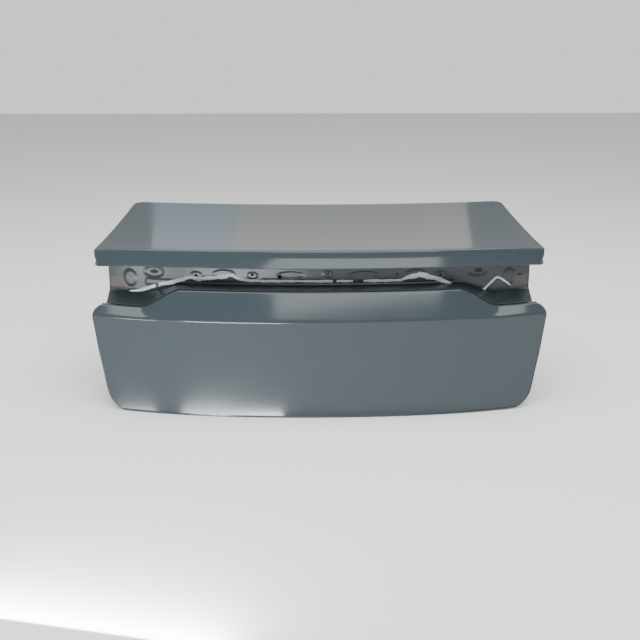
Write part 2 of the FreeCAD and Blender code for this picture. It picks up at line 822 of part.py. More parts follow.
# Mastic and sealer
def mastic(places, in_deck):
    """Drops of mastic between the outer skins and the inner panel."""
    clear = seam_gap / 2 + 0.01
    space = hollow(clear, inner_t + clear)
    drops = []
    for x, v in places:
        for at in {x, -x}:
            if in_deck:
                drop = cylinder(mastic_r, (at, v, -80), (0, 0, 1), 120)
            else:
                drop = cylinder(mastic_r, (at, -480, v), (0, 1, 0), 200)
            drops.append(max(drop.common(space).Solids, key=lambda solid: solid.Volume))
    return Part.makeCompound(drops)


def seam_sealer():
    """A brushed bead along the corner between the recess's back wall and its floor."""
    def path(x):
        return recess_path(x)[1:2]
    bead = sheet(path, -1.5, -seam_gap / 2)
    keep = box((-sealer_half_run, -560, -300), (sealer_half_run, 200, 100))
    return one_solid(bead.common(keep))


pieces = {
    "outer_upper": outer_upper(),
    "outer_lower": outer_lower(),
    "recess_panel": recess_panel(),
    "inner_panel": inner_panel(),
    "hinge_reinforcement_left": hinge_reinforcement(-1),
    "hinge_reinforcement_right": hinge_reinforcement(1),
    "hinge_weld_nuts": hinge_weld_nuts(),
    "latch_reinforcement": latch_reinforcement(),
    "latch_weld_nuts": latch_weld_nuts(),
    "lamp_weld_nuts": lamp_weld_nuts(),
    "corner_bracket_left": corner_bracket(-1),
    "corner_bracket_right": corner_bracket(1),
    "brace_left": brace("left"),
    "brace_centre": brace("centre"),
    "brace_right": brace("right"),
    "deck_mastic": mastic(deck_mastic_places, True),
    "rear_mastic": mastic(rear_mastic_places, False),
    "seam_sealer": seam_sealer(),
}
for name, shape in pieces.items():
    shape.exportStep("parts/" + name + ".step")
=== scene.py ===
import bpy
import bmesh
import math
import numpy as np
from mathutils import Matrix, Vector


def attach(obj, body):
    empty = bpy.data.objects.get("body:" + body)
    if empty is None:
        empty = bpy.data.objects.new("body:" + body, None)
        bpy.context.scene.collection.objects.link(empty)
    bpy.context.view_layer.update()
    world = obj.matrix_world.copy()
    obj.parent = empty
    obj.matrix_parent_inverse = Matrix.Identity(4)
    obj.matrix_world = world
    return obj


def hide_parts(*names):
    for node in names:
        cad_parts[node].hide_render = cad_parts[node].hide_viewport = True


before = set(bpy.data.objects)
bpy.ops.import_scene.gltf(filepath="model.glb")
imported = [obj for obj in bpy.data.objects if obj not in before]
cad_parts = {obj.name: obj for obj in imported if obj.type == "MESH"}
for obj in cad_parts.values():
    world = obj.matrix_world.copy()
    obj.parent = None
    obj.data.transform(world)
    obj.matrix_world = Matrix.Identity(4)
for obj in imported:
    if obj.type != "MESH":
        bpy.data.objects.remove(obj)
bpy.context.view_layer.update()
print("stage 1: frame loaded,", len(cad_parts), "nodes")

# Form of the lid, in millimetres.
lidForm = {
    "halfWidth": 620.0, "bowSquare": 59.0, "bowFourth": 23.0,
    "frontY": 18.4, "frontZ": 32.0, "frontBow": 70.0, "frontDrop": 5.0, "halfFront": 555.0,
    "deckSag": -7.0, "lipY": -366.0, "lipZ": -12.0, "lipArch": 8.0, "flankDrop": 10.0,
    "flankStart": 420.0, "lipHeight": 46.0, "lipTaper": -6.0, "lipFlare": 17.0, "lipSag": -2.2,
    "recessDepth": 68.0, "returnRise": 4.0, "wallGap": 0.9,
    "topEdgeY": -385.0, "topEdgeZ": -120.0, "pocketDrop": 52.0, "pocketStart": 372.0,
    "pocketEnd": 492.0, "topFlange": 16.0, "topFall": 3.0, "floorRise": 26.0,
    "swageY": -414.0, "swageZ": -197.0, "bottomY": -429.0, "bottomZ": -463.9, "faceSag": -10.4,
}


def bowAt(x):
    share = x / lidForm["halfWidth"]
    return lidForm["bowSquare"] * share ** 2 + lidForm["bowFourth"] * share ** 4


def smoothStep(low, high, value):
    s = np.clip((value - low) / (high - low), 0.0, 1.0)
    return s * s * (3.0 - 2.0 * s)


def pocketAt(x):
    return smoothStep(lidForm["pocketStart"], lidForm["pocketEnd"], np.abs(x))


def frontEdge(x):
    across = (x / lidForm["halfFront"]) ** 2
    return lidForm["frontY"] + lidForm["frontBow"] * across, lidForm["frontZ"] - lidForm["frontDrop"] * across


def lipCrease(x):
    share = x / lidForm["halfWidth"]
    flank = lidForm["halfWidth"] - lidForm["flankStart"]
    past = np.clip((np.abs(x) - lidForm["flankStart"]) / flank, 0.0, 2.0)
    z = lidForm["lipZ"] - lidForm["lipArch"] * share ** 2 - lidForm["flankDrop"] * past ** 2
    return lidForm["lipY"] + bowAt(x), z


def lipFoot(x):
    y, z = lipCrease(x)
    height = lidForm["lipHeight"] + lidForm["lipTaper"] * (x / lidForm["halfWidth"]) ** 2
    return y - lidForm["lipFlare"], z - height


def wallTop(x):
    y, z = lipFoot(x)
    return y + lidForm["recessDepth"], z + lidForm["returnRise"]


def topEdge(x):
    return lidForm["topEdgeY"] + bowAt(x), lidForm["topEdgeZ"] - lidForm["pocketDrop"] * pocketAt(x)


def recessFoot(x):
    z = topEdge(x)[1] - lidForm["topFall"] + lidForm["floorRise"] * pocketAt(x)
    return wallTop(x)[0] + lidForm["wallGap"], z


# A section is a chain of bent spans between corners (y, z, setback, sag). Row plans say which span or
# which rounded corner each row of a grid samples, and at what share of it.
def spanRows(index, count, last=False):
    return ("span", index, np.linspace(0.0, 1.0, count, endpoint=last))


def cornerRows(index, count):
    return ("corner", index, np.linspace(0.0, 1.0, count, endpoint=False))


# y and z of every grid point: quadratic curves between corners, rounded by tangent quadratics.
def sectionSurface(cornersOf, plan, x):
    corners = cornersOf(x)
    spans = []
    for (y0, z0, back0, sag), (y1, z1, back1, _) in zip(corners, corners[1:]):
        y0, z0, y1, z1 = (np.broadcast_to(v, x.shape) for v in (y0, z0, y1, z1))
        length = np.hypot(y1 - y0, z1 - z0)
        cy = (y0 + y1) / 2 + 2 * sag * (z1 - z0) / length
        cz = (z0 + z1) / 2 - 2 * sag * (y1 - y0) / length
        spans.append((y0, z0, cy, cz, y1, z1, back0 / length, 1 - back1 / length))
    y, z = np.zeros(x.shape), np.zeros(x.shape)
    row = 0
    for kind, index, shares in plan:
        rows = slice(row, row + len(shares))
        row += len(shares)
        t = shares[:, None]
        y0, z0, cy, cz, y1, z1, low, high = (v[rows] for v in spans[index])
        if kind == "span":
            t = low + (high - low) * t
            y[rows] = (1 - t) ** 2 * y0 + 2 * t * (1 - t) * cy + t * t * y1
            z[rows] = (1 - t) ** 2 * z0 + 2 * t * (1 - t) * cz + t * t * z1
            continue
        ay = (1 - high) ** 2 * y0 + 2 * high * (1 - high) * cy + high ** 2 * y1
        az = (1 - high) ** 2 * z0 + 2 * high * (1 - high) * cz + high ** 2 * z1
        ty, tz = (1 - high) * (cy - y0) + high * (y1 - cy), (1 - high) * (cz - z0) + high * (z1 - cz)
        y0, z0, cy, cz, y1, z1, low, high = (v[rows] for v in spans[index + 1])
        by = (1 - low) ** 2 * y0 + 2 * low * (1 - low) * cy + low ** 2 * y1
        bz = (1 - low) ** 2 * z0 + 2 * low * (1 - low) * cz + low ** 2 * z1
        uy, uz = (1 - low) * (cy - y0) + low * (y1 - cy), (1 - low) * (cz - z0) + low * (z1 - cz)
        cross = ty * uz - tz * uy
        run = ((by - ay) * uz - (bz - az) * uy) / np.where(np.abs(cross) < 1e-9, 1e-9, cross)
        my, mz = ay + ty * run, az + tz * run
        y[rows] = (1 - t) ** 2 * ay + 2 * t * (1 - t) * my + t * t * by
        z[rows] = (1 - t) ** 2 * az + 2 * t * (1 - t) * mz + t * t * bz
    return y, z


def rowCount(plan):
    return sum(len(shares) for _, _, shares in plan)


# Points along a polygon whose corners (u, v, radius) are rounded by arcs, worked out by tangents.
def roundedOutline(corners, steps=9):
    points = []
    for i, (u, v, radius) in enumerate(corners):
        here = np.array([u, v])
        if radius == 0 or i in (0, len(corners) - 1):
            points.append(here)
            continue
        back = np.array(corners[i - 1][:2]) - here
        ahead = np.array(corners[i + 1][:2]) - here
        back, ahead = back / np.linalg.norm(back), ahead / np.linalg.norm(ahead)
        half = math.acos(float(back @ ahead)) / 2
        middle = (back + ahead) / np.linalg.norm(back + ahead)
        centre = here + middle * radius / math.sin(half)
        start, end = here + back * radius / math.tan(half), here + ahead * radius / math.tan(half)
        a0 = math.atan2(*(start - centre)[::-1])
        a1 = math.atan2(*(end - centre)[::-1])
        turn = (a1 - a0 + math.pi) % (2 * math.pi) - math.pi
        for k in range(steps + 1):
            a = a0 + turn * k / steps
            points.append(centre + radius * np.array([math.cos(a), math.sin(a)]))
    return np.array(points)


planSide = roundedOutline([(0.0, -52.0, 0), (554.0, 87.8, 30.0),
                           (619.2, -284.0, 26.0), (574.2, -345.0, 0), (520.0, -420.0, 0)])
rearSide = roundedOutline([(588.0, 20.0, 0), (588.0, -166.0, 14.0), (624.0, -190.0, 26.0),
                           (611.0, -300.0, 260.0), (592.0, -396.0, 260.0), (577.0, -460.0, 62.0),
                           (0.0, -468.0, 0)], 14)


def planHalf(y):
    side = planSide[1:]
    return np.interp(-y, -side[:, 1], side[:, 0])


# 1 inside a box in x and v, falling to 0 over a soft border.
def softBox(x, v, box, soft):
    x0, x1, v0, v1 = box
    inX = smoothStep(x0 - soft, x0 + soft, x) * (1 - smoothStep(x1 - soft, x1 + soft, x))
    return inX * smoothStep(v0 - soft, v0 + soft, v) * (1 - smoothStep(v1 - soft, v1 + soft, v))


def softDisc(x, v, cx, cv, rx, rv, soft):
    return 1 - smoothStep(1 - soft, 1 + soft, np.hypot((x - cx) / rx, (v - cv) / rv))


def rearHalf(z):
    side = rearSide[:-1]
    return np.interp(-z, -side[:, 1], side[:, 0])


# Grid with rows along the section and columns across. x is the column's share of the half width at that
# y or z, found by repetition.
def settledGrid(cornersOf, plan, across, halfOf, byHeight, inset):
    rows = rowCount(plan)
    x = np.repeat(across[None, :] * 560.0, rows, axis=0)
    for _ in range(12):
        y, z = sectionSurface(cornersOf, plan, x)
        x = across[None, :] * (halfOf(z if byHeight else y) - inset)
    y, z = sectionSurface(cornersOf, plan, x)
    return x, y, z


def gridFaces(rows, cols, start=0, flip=False):
    index = start + np.arange(rows * cols).reshape(rows, cols)
    a, b, c, d = index[:-1, :-1], index[:-1, 1:], index[1:, 1:], index[1:, :-1]
    quads = np.stack([a, d, c, b] if flip else [a, b, c, d], axis=-1)
    return quads.reshape(-1, 4)


# One mesh from grids (x, y, z, flip) in millimetres: points in rows, cells as quads, doubles merged.
def meshPiece(name, grids, material, replaced=(), thickness=None, dropped=None):
    points, quads, count = [], [], 0
    for x, y, z, flip in grids:
        rows, cols = x.shape
        points.append(np.stack([x, y, z], axis=-1).reshape(-1, 3) * 0.001)
        quads.append(gridFaces(rows, cols, count, flip))
        count += rows * cols
    points, quads = np.concatenate(points), np.concatenate(quads)
    if dropped is not None:
        quads = quads[~dropped]
    mesh = bpy.data.meshes.new(name)
    mesh.vertices.add(len(points))
    mesh.vertices.foreach_set("co", points.ravel())
    mesh.loops.add(quads.size)
    mesh.loops.foreach_set("vertex_index", quads.ravel())
    mesh.polygons.add(len(quads))
    mesh.polygons.foreach_set("loop_start", np.arange(0, quads.size, 4))
    mesh.update(calc_edges=True)
    work = bmesh.new()
    work.from_mesh(mesh)
    bmesh.ops.remove_doubles(work, verts=work.verts, dist=2e-5)
    bmesh.ops.dissolve_degenerate(work, edges=work.edges, dist=1e-6)
    work.to_mesh(mesh)
    work.free()
    mesh.polygons.foreach_set("use_smooth", np.full(len(mesh.polygons), True))
    mesh.validate()
    piece = bpy.data.objects.new(name, mesh)
    bpy.context.scene.collection.objects.link(piece)
    mesh.materials.append(material)
    if thickness:
        wall = piece.modifiers.new("wall", "SOLIDIFY")
        wall.thickness, wall.offset = thickness * 0.001, -1.0
    finishPiece(piece, replaced)
    return piece


def finishPiece(piece, replaced=()):
    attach(piece, "root")
    if replaced:
        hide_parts(*replaced)


# Finishes.
def linearColour(red, green, blue):
    shares = (red / 255, green / 255, blue / 255)
    return tuple(((c + 0.055) / 1.055) ** 2.4 for c in shares) + (1.0,)


def nodeGroup(name, inputs, outputs):
    group = bpy.data.node_groups.new(name, "ShaderNodeTree")
    for label, kind, value in inputs:
        socket = group.interface.new_socket(name=label, in_out="INPUT", socket_type=kind)
        socket.default_value = value
    for label, kind in outputs:
        group.interface.new_socket(name=label, in_out="OUTPUT", socket_type=kind)
    return group, group.nodes.new("NodeGroupInput"), group.nodes.new("NodeGroupOutput")


# Colour, roughness and bump height of a dipped primer film: slow mottling, fine grain and dust.
def primerFilm():
    group, start, end = nodeGroup("primerFilm", [
        ("Film", "NodeSocketColor", (0.1, 0.13, 0.14, 1)), ("Dust", "NodeSocketColor", (0.3, 0.32, 0.32, 1)),
        ("Mottle", "NodeSocketFloat", 0.15), ("Dustiness", "NodeSocketFloat", 0.1),
        ("Roughness", "NodeSocketFloat", 0.3)],
        [("Color", "NodeSocketColor"), ("Roughness", "NodeSocketFloat"), ("Height", "NodeSocketFloat")])
    nodes, links = group.nodes, group.links
    place = nodes.new("ShaderNodeTexCoord")

    def noise(scale, detail):
        node = nodes.new("ShaderNodeTexNoise")
        node.inputs["Scale"].default_value = scale
        node.inputs["Detail"].default_value = detail
        links.new(place.outputs["Object"], node.inputs["Vector"])
        return node.outputs["Fac"]

    def maths(kind, a, b=0.0, c=None):
        node = nodes.new("ShaderNodeMath")
        node.operation = kind
        for socket, value in zip(node.inputs, (a, b, c)):
            if value is None:
                continue
            if isinstance(value, (int, float)):
                socket.default_value = value
            else:
                links.new(value, socket)
        return node.outputs[0]

    slow, fine, peel = noise(5.0, 3.0), noise(900.0, 2.0), noise(160.0, 2.0)
    specks = noise(260.0, 6.0)
    dustMask = maths("MULTIPLY", maths("GREATER_THAN", specks, 0.70), start.outputs["Dustiness"])
    shade = maths("MULTIPLY_ADD", maths("SUBTRACT", slow, 0.5), start.outputs["Mottle"], 1.0)
    tone = nodes.new("ShaderNodeMix")
    tone.data_type, tone.blend_type = "RGBA", "MULTIPLY"
    tone.inputs["Factor"].default_value = 1.0
    links.new(start.outputs["Film"], tone.inputs[6])
    grey = nodes.new("ShaderNodeCombineColor")
    for socket in grey.inputs[:3]:
        links.new(shade, socket)
    links.new(grey.outputs[0], tone.inputs[7])
    dusty = nodes.new("ShaderNodeMix")
    dusty.data_type = "RGBA"
    links.new(dustMask, dusty.inputs["Factor"])
    links.new(tone.outputs[2], dusty.inputs[6])
    links.new(start.outputs["Dust"], dusty.inputs[7])
    links.new(dusty.outputs[2], end.inputs["Color"])
    rough = maths("ADD", start.outputs["Roughness"], maths("MULTIPLY", maths("SUBTRACT", slow, 0.5), 0.12))
    rough = maths("ADD", rough, maths("MULTIPLY", dustMask, 0.3))
    links.new(rough, end.inputs["Roughness"])
    height = maths("ADD", maths("MULTIPLY", peel, 0.7), maths("MULTIPLY", fine, 0.3))
    links.new(height, end.inputs["Height"])
    return group


filmGroup = primerFilm()


def primerMaterial(name, look):
    material = bpy.data.materials.new(name)
    material.use_nodes = True
    nodes, links = material.node_tree.nodes, material.node_tree.links
    shader = nodes["Principled BSDF"]
    film = nodes.new("ShaderNodeGroup")
    film.node_tree = filmGroup
    film.inputs["Film"].default_value = linearColour(*look["film"])
    film.inputs["Dust"].default_value = linearColour(*look["dust"])
    film.inputs["Mottle"].default_value = look["mottle"]
    film.inputs["Dustiness"].default_value = look["dustiness"]
    film.inputs["Roughness"].default_value = look["roughness"]
    bump = nodes.new("ShaderNodeBump")
    bump.inputs["Strength"].default_value = look["bump"]
    bump.inputs["Distance"].default_value = 0.0002
    links.new(film.outputs["Height"], bump.inputs["Height"])
    links.new(bump.outputs["Normal"], shader.inputs["Normal"])
    links.new(film.outputs["Color"], shader.inputs["Base Color"])
    links.new(film.outputs["Roughness"], shader.inputs["Roughness"])
    shader.inputs["IOR"].default_value = look["ior"]
    shader.inputs["Coat Weight"].default_value = look["coat"]
    shader.inputs["Coat Roughness"].default_value = look["coatRoughness"]
    return material


outerLook = {"film": (50, 60, 65), "dust": (90, 96, 98), "mottle": 0.10, "dustiness": 0.10,
             "roughness": 0.10, "bump": 0.02, "ior": 1.5, "coat": 0.0, "coatRoughness": 0.09}
innerLook = dict(outerLook, film=(50, 58, 61), mottle=0.3, dustiness=0.5, roughness=0.34, bump=0.12, coat=0.0)
recessLook = dict(outerLook, film=(46, 54, 57), mottle=0.25, dustiness=0.4, roughness=0.3, bump=0.1, coat=0.0)
# brackets: grey primer whose brown tint is a painted reflection of something brown
bracketBrownReflectionLook = dict(innerLook, film=(74, 68, 66), dust=(104, 98, 94))
nutLook = dict(innerLook, film=(76, 80, 80), roughness=0.42)
masticLook = dict(innerLook, film=(34, 34, 37), dust=(60, 60, 62), roughness=0.7, bump=0.4)
# sealer: a real bead whose near-white film is a painted highlight on the wall's foot
sealerHighlightLook = dict(innerLook, film=(206, 212, 216), dust=(150, 152, 150), mottle=0.35, roughness=0.3, bump=0.5)
finishes = {
    "outer_skin": primerMaterial("outerPrimer", outerLook),
    "inner_sheet": primerMaterial("innerPrimer", innerLook),
    "recess_sheet": primerMaterial("recessPrimer", recessLook),
    "bracket_sheet": primerMaterial("bracketPrimerBrownReflection", bracketBrownReflectionLook),
    "weld_nuts": primerMaterial("nutPrimer", nutLook),
    "mastic": primerMaterial("masticDrops", masticLook),
    "sealer": primerMaterial("sealerSkinPaintedHighlight", sealerHighlightLook),
}
print("stage 2: finishes made")

# Upper skin.
upperSkin = {"foldRadius": 1.25, "hemLeg": 9.0, "skin": 0.8, "columns": 221, "weldFlange": 13.0,
             "deckRows": 46, "footRowsKept": 3, "lipStart": 40, "endBulge": 0.4}


def upperCorners(x):
    wy, wz = wallTop(x)
    return [(*frontEdge(x), 0, lidForm["deckSag"]), (*lipCrease(x), 5.0, lidForm["lipSag"]),
            (*lipFoot(x), 3.5, 0),
            (wy, wz, 6.0, 0), (wy, wz - upperSkin["weldFlange"], 0, 0)]


across = np.sin(np.linspace(-1, 1, upperSkin["columns"]) * math.pi / 2 * 0.86) / math.sin(math.pi / 2 * 0.86)
# A hem folds through half a turn: the inset starts at the fold's radius, reaches the edge half way
# down, and returns under the skin.
foldTurn = np.linspace(0, math.pi, 9)
foldInset = np.concatenate([upperSkin["foldRadius"] * (1 - np.sin(foldTurn)), [3.0, upperSkin["hemLeg"]]])
foldDepth = np.concatenate([upperSkin["foldRadius"] * (1 - np.cos(foldTurn)), [2.5, 2.5]])


def makeUpperSkin():
    deckPlan = [spanRows(0, upperSkin["deckRows"]), cornerRows(0, 8), spanRows(1, 12), cornerRows(1, 7),
                spanRows(2, 8, True)]
    radius = upperSkin["foldRadius"]
    x, y, z = settledGrid(upperCorners, deckPlan, across, planHalf, False, radius)
    notch = rowCount(deckPlan) - 8 + upperSkin["footRowsKept"]
    x, y, z = x[:notch], y[:notch], z[:notch]
    grids = [(x, y, z, False)]
    deckRows = upperSkin["deckRows"]
    for side, column in ((-1, 0), (1, -1)):
        halves = planHalf(y[:deckRows, column])
        sx = side * (halves[:, None] - foldInset[None, :])
        rest = np.zeros((rowCount(deckPlan) - deckRows, sx.shape[1]))
        sy, sz = sectionSurface(upperCorners, deckPlan, np.vstack([sx, rest]))
        grids.append((sx, sy[:deckRows], sz[:deckRows] - foldDepth[None, :], side > 0))
    fx = x[0]
    along = (z[1] - z[0]) / (y[1] - y[0])
    ey, ez = y[0], z[0]
    fy = ey[None, :] - (foldInset - radius)[:, None]
    fz = ez[None, :] - (foldInset - radius)[:, None] * along[None, :] - foldDepth[:, None]
    grids.append((np.repeat(fx[None, :], len(foldInset), axis=0), fy, fz, True))
    # end walls of the lip: straight lines from the deck's side of the lip to its return's side
    start = upperSkin["lipStart"]
    for side, column in ((-1, 0), (1, -1)):
        ring = np.stack([x[start:, column], y[start:, column], z[start:, column]], axis=-1)
        half = len(ring) // 2
        upper, lower = ring[:half], ring[::-1][:half]
        t = np.linspace(0, 1, 12)[:, None, None]
        arch = np.sin(np.linspace(0, math.pi, 12))[:, None, None]
        bulge = arch * np.array([side * upperSkin["endBulge"], 0, 0])
        wall = upper[None] * (1 - t) + lower[None] * t + bulge
        grids.append((wall[..., 0], wall[..., 1], wall[..., 2], side < 0))
    meshPiece("deckSkin", grids, finishes["outer_skin"], ("outer_upper",), upperSkin["skin"])
    # return and weld flange of the recess, narrower than the lip
    returnPlan = [spanRows(2, 8), cornerRows(2, 6), spanRows(3, 4, True)]
    spread = np.linspace(-1, 1, 181)
    rx = np.repeat(spread[None, :] * 588.0, rowCount(returnPlan), axis=0)
    ry, rz = sectionSurface(upperCorners, returnPlan, rx)
    rz = rz + np.where(np.arange(len(ry)) < 8, 0.06, 0.0)[:, None]
    meshPiece("lipReturn", [(rx, ry, rz, False)], finishes["outer_skin"], (), upperSkin["skin"])


makeUpperSkin()
print("stage 3: upper skin made")

# Lower skin.
lowerSkin = {"foldRadius": 1.25, "skin": 0.8, "firstHemRow": 12}


def lowerCorners(x):
    ey, ez = topEdge(x)
    shift = bowAt(x)
    bottom = lidForm["bottomZ"] + 4.0 * np.clip(np.abs(x) / 577.0, 0, 1) ** 2 + lowerSkin["foldRadius"]
    return [(ey + lidForm["topFlange"], ez - lidForm["topFall"], 0, 0), (ey, ez, 6.0, 0),
            (lidForm["swageY"] + shift, lidForm["swageZ"] + 0 * x, 6.0, lidForm["faceSag"]),
            (lidForm["bottomY"] + shift, bottom, 0, 0)]


def makeLowerSkin():
    plan = [spanRows(0, 5), cornerRows(0, 7), spanRows(1, 18), cornerRows(1, 6), spanRows(2, 70, True)]
    x, y, z = settledGrid(lowerCorners, plan, across, rearHalf, True, lowerSkin["foldRadius"])
    grids = [(x, y, z, True)]
    first = lowerSkin["firstHemRow"]
    for side, column in ((-1, 0), (1, -1)):
        halves = np.abs(x[:, column]) + lowerSkin["foldRadius"]
        sx = side * (halves[:, None] - foldInset[None, :])
        sy, sz = sectionSurface(lowerCorners, plan, sx)
        level = np.broadcast_to(z[first:, column:][:, :1], sx[first:].shape)
        grids.append((sx[first:], sy[first:] + foldDepth[None, :], level, side < 0))
    bx, by, bz = x[-1], y[-1], z[-1]
    along = (y[-1] - y[-2]) / (z[-1] - z[-2])
    inset = foldInset - lowerSkin["foldRadius"]
    gz = bz[None, :] + inset[:, None]
    gy = by[None, :] + inset[:, None] * along[None, :] + foldDepth[:, None]
    grids.append((np.repeat(bx[None, :], len(foldInset), axis=0), gy, gz, True))
    meshPiece("rearSkin", grids, finishes["outer_skin"], ("outer_lower",), lowerSkin["skin"])


makeLowerSkin()
print("stage 4: lower skin made")

# Recess trough.
recessShape = {
    "sheet": 0.8, "columns": 861, "wallRows": 44, "footRows": 8, "floorRows": 22, "halfLength": 586.0,
    # holes: x, z, half width, half height
    "holes": [(-339, -97, 4, 3.4), (-184, -92, 4, 3.4), (22, -89, 3.4, 3), (330, -97, 4, 3.4),
              (212, -93, 3.4, 3.4), (-568, -122, 6, 8), (556, -113, 9, 6), (-110, -98, 5, 5)],
    # pressed dimples: x, z, half width, half height, depth into the trough (negative goes back)
    "dimples": [(-456, -92, 27, 15, -2.2), (436, -90, 27, 15, -2.2), (-524, -112, 17, 22, 2.4),
                (526, -112, 17, 22, 2.4), (-339, -98, 16, 11, 1.4), (-184, -94, 14, 9, 1.2),
                (330, -98, 16, 11, 1.4), (22, -90, 14, 9, 1.0), (-262, -92, 30, 12, -1.6),
                (262, -92, 26, 12, -1.6), (120, -92, 40, 9, -1.2), (-80, -92, 34, 9, -1.2)],
    # raised pads of the wall: low x, high x, low z, high z, height
    "pads": [(-480, -360, -128, -112, 1.6), (-322, -240, -114, -100, 1.4), (236, 372, -120, -102, 1.5),
             (-160, 60, -112, -103, 0.8), (90, 200, -112, -102, 0.8)],
}


# How far the wall stands toward the viewer: flat-topped discs and boxes with soft sides, added up.
def wallRelief(x, z):
    lift = np.zeros(x.shape)
    for cx, cz, rx, rz, height in recessShape["dimples"]:
        lift += height * softDisc(x, z, cx, cz, rx, rz, 0.28)
    for x0, x1, z0, z1, height in recessShape["pads"]:
        lift += height * softBox(x, z, (x0, x1, z0, z1), 3.0)
    return lift


def recessCorners(x):
    wy, wz = wallTop(x)
    fy, fz = recessFoot(x)
    ty, tz = topEdge(x)
    return [(wy + 0.9, wz - 1.0, 0, 0), (fy, fz, 9.0, 0), (ty + 8.0, tz - lidForm["topFall"] / 2 + 0.9, 0, 0)]


def recessGrid():
    plan = [spanRows(0, recessShape["wallRows"]), cornerRows(0, recessShape["footRows"]),
            spanRows(1, recessShape["floorRows"], True)]
    columns = np.linspace(-1, 1, recessShape["columns"]) * recessShape["halfLength"]
    x = np.repeat(columns[None, :], rowCount(plan), axis=0)
    y, z = sectionSurface(recessCorners, plan, x)
    wall = np.arange(len(y)) < recessShape["wallRows"]
    fade = smoothStep(0, 8, z[0][None, :] - z) * wall[:, None]
    y = y - wallRelief(x, z) * fade
    return x, y, z


# Marks the cells inside the ellipses, after moving the points just inside each ellipse out onto it.
def cutHoles(x, y, z, holes):
    inside = np.zeros(x.shape, bool)
    for cx, cz, rx, rz in holes:
        q = np.hypot((x - cx) / rx, (z - cz) / rz)
        hole = q < 1
        ring = hole & ~(np.roll(hole, 1, 0) & np.roll(hole, -1, 0) & np.roll(hole, 1, 1) & np.roll(hole, -1, 1))
        x[ring], z[ring] = cx + (x[ring] - cx) / q[ring], cz + (z[ring] - cz) / q[ring]
        inside |= hole
    return inside[:-1, :-1] & inside[1:, :-1] & inside[:-1, 1:] & inside[1:, 1:]


def makeRecess():
    x, y, z = recessGrid()
    holes = cutHoles(x, y, z, recessShape["holes"])
    meshPiece("recessSheet", [(x, y, z, False)], finishes["recess_sheet"],
                     ("recess_panel",), recessShape["sheet"], dropped=holes.ravel())


# Dark discs in the two oval dimples, painted shade in place of the dark of the oval holes: rings of a low dome,
# laid on the wall.
def makeHoleShadeDiscs():
    ring, turn = np.meshgrid(np.linspace(0.0, 1.0, 12), np.linspace(0, 2 * math.pi, 49), indexing="ij")
    grids = []
    for cx, cz, rx, rz in ((-456, -91, 14, 7), (438, -90, 14, 7)):
        x, z = cx + rx * ring * np.cos(turn), cz + rz * ring * np.sin(turn)
        share = np.clip((wallTop(x)[1] - z) / (wallTop(x)[1] - recessFoot(x)[1]), 0, 1)
        y = wallTop(x)[0] + 0.9 + (recessFoot(x)[0] - wallTop(x)[0] - 0.9) * share - wallRelief(x, z)
        grids.append((x, y - 1.2 * np.sqrt(1 - ring ** 2) - 0.15, z, True))
    meshPiece("ovalHoleShadeDiscs", grids, finishes["mastic"], (), 0.3)


makeRecess()
makeHoleShadeDiscs()

# Sealer strip: a real sealer bead along the wall's foot, coloured near white as a painted highlight of light on
# that foot.
# the strip's middle line on the wall: x, z, half width, all in mm
sealerShape = {
    "line": [(-534, -151, 3), (-499, -147, 4), (-469, -137, 5), (-441, -126, 5), (-398, -116, 5.5),
             (-356, -104, 4.5), (-332, -109, 6), (-300, -103, 5), (-259, -98, 6), (-240, -93, 5),
             (-224, -104, 5), (-205, -109, 4), (-120, -110, 3.6), (0, -110, 3.4), (110, -110, 3.6),
             (219, -110, 4), (247, -101, 6), (274, -95, 7), (300, -101, 7), (330, -110, 6),
             (359, -124, 5), (393, -138, 5), (430, -145, 4), (455, -145, 3.6), (478, -124, 3.4),
             (491, -111, 3.2), (506, -119, 3), (540, -144, 3)],
    "gaps": [(36, 44), (92, 118), (-452, -446), (424, 432)], "height": 2.6, "points": 1400, "around": 9,
}


# A flat bead along the line, its width and height changed by added waves of unlike lengths.
def makeSealer():
    line = np.array(sealerShape["line"], float)
    t = np.linspace(line[0, 0], line[-1, 0], sealerShape["points"])
    zMid, half = np.interp(t, line[:, 0], line[:, 1]), np.interp(t, line[:, 0], line[:, 2])
    kernel = np.hanning(31) / np.hanning(31).sum()
    zMid = np.convolve(np.pad(zMid, 15, mode="edge"), kernel, "valid")
    wave = (np.sin(t / 7.3) + np.sin(t / 3.1 + 1.3) * 0.6 + np.sin(t / 19.0 + 0.4) + np.sin(t / 1.7) * 0.25) / 2.85
    waveLow = (np.sin(t / 5.9 + 2.0) + np.sin(t / 2.3) * 0.6 + np.sin(t / 23.0 + 1.1)) / 2.6
    keep = np.ones(t.shape)
    for low, high in sealerShape["gaps"]:
        keep *= 1 - smoothStep(low - 3, low, t) * (1 - smoothStep(high, high + 3, t))
    ends = smoothStep(t[0], t[0] + 14, t) * (1 - smoothStep(t[-1] - 14, t[-1], t))
    size = np.clip(keep * ends, 0.02, 1)
    angle = np.linspace(0, math.pi, sealerShape["around"])
    x = np.repeat(t[:, None], len(angle), axis=1)
    top, low = half * (1 + 0.35 * wave) * size, half * (1 + 0.4 * waveLow) * size
    spread = np.where(np.cos(angle)[None, :] > 0, top[:, None], low[:, None]) * np.cos(angle)[None, :]
    z = zMid[:, None] + spread
    rise = sealerShape["height"] * (0.75 + 0.25 * wave)[:, None] * size[:, None] * np.sin(angle)[None, :] ** 0.7
    wy, wz = wallTop(x)
    fy, fz = recessFoot(x)
    share = np.clip((wz - z) / (wz - fz), 0, 1)
    face = wy + 0.9 + (fy - wy - 0.9) * share - wallRelief(x, z)
    y = face + 0.3 - rise - np.where(z < fz + 9, (fz + 9 - z) * 0.5, 0)
    meshPiece("sealerStrip", [(x, y, z, True)], finishes["sealer"], ("seam_sealer",), 0.4)


makeSealer()
print("stage 5: recess made")

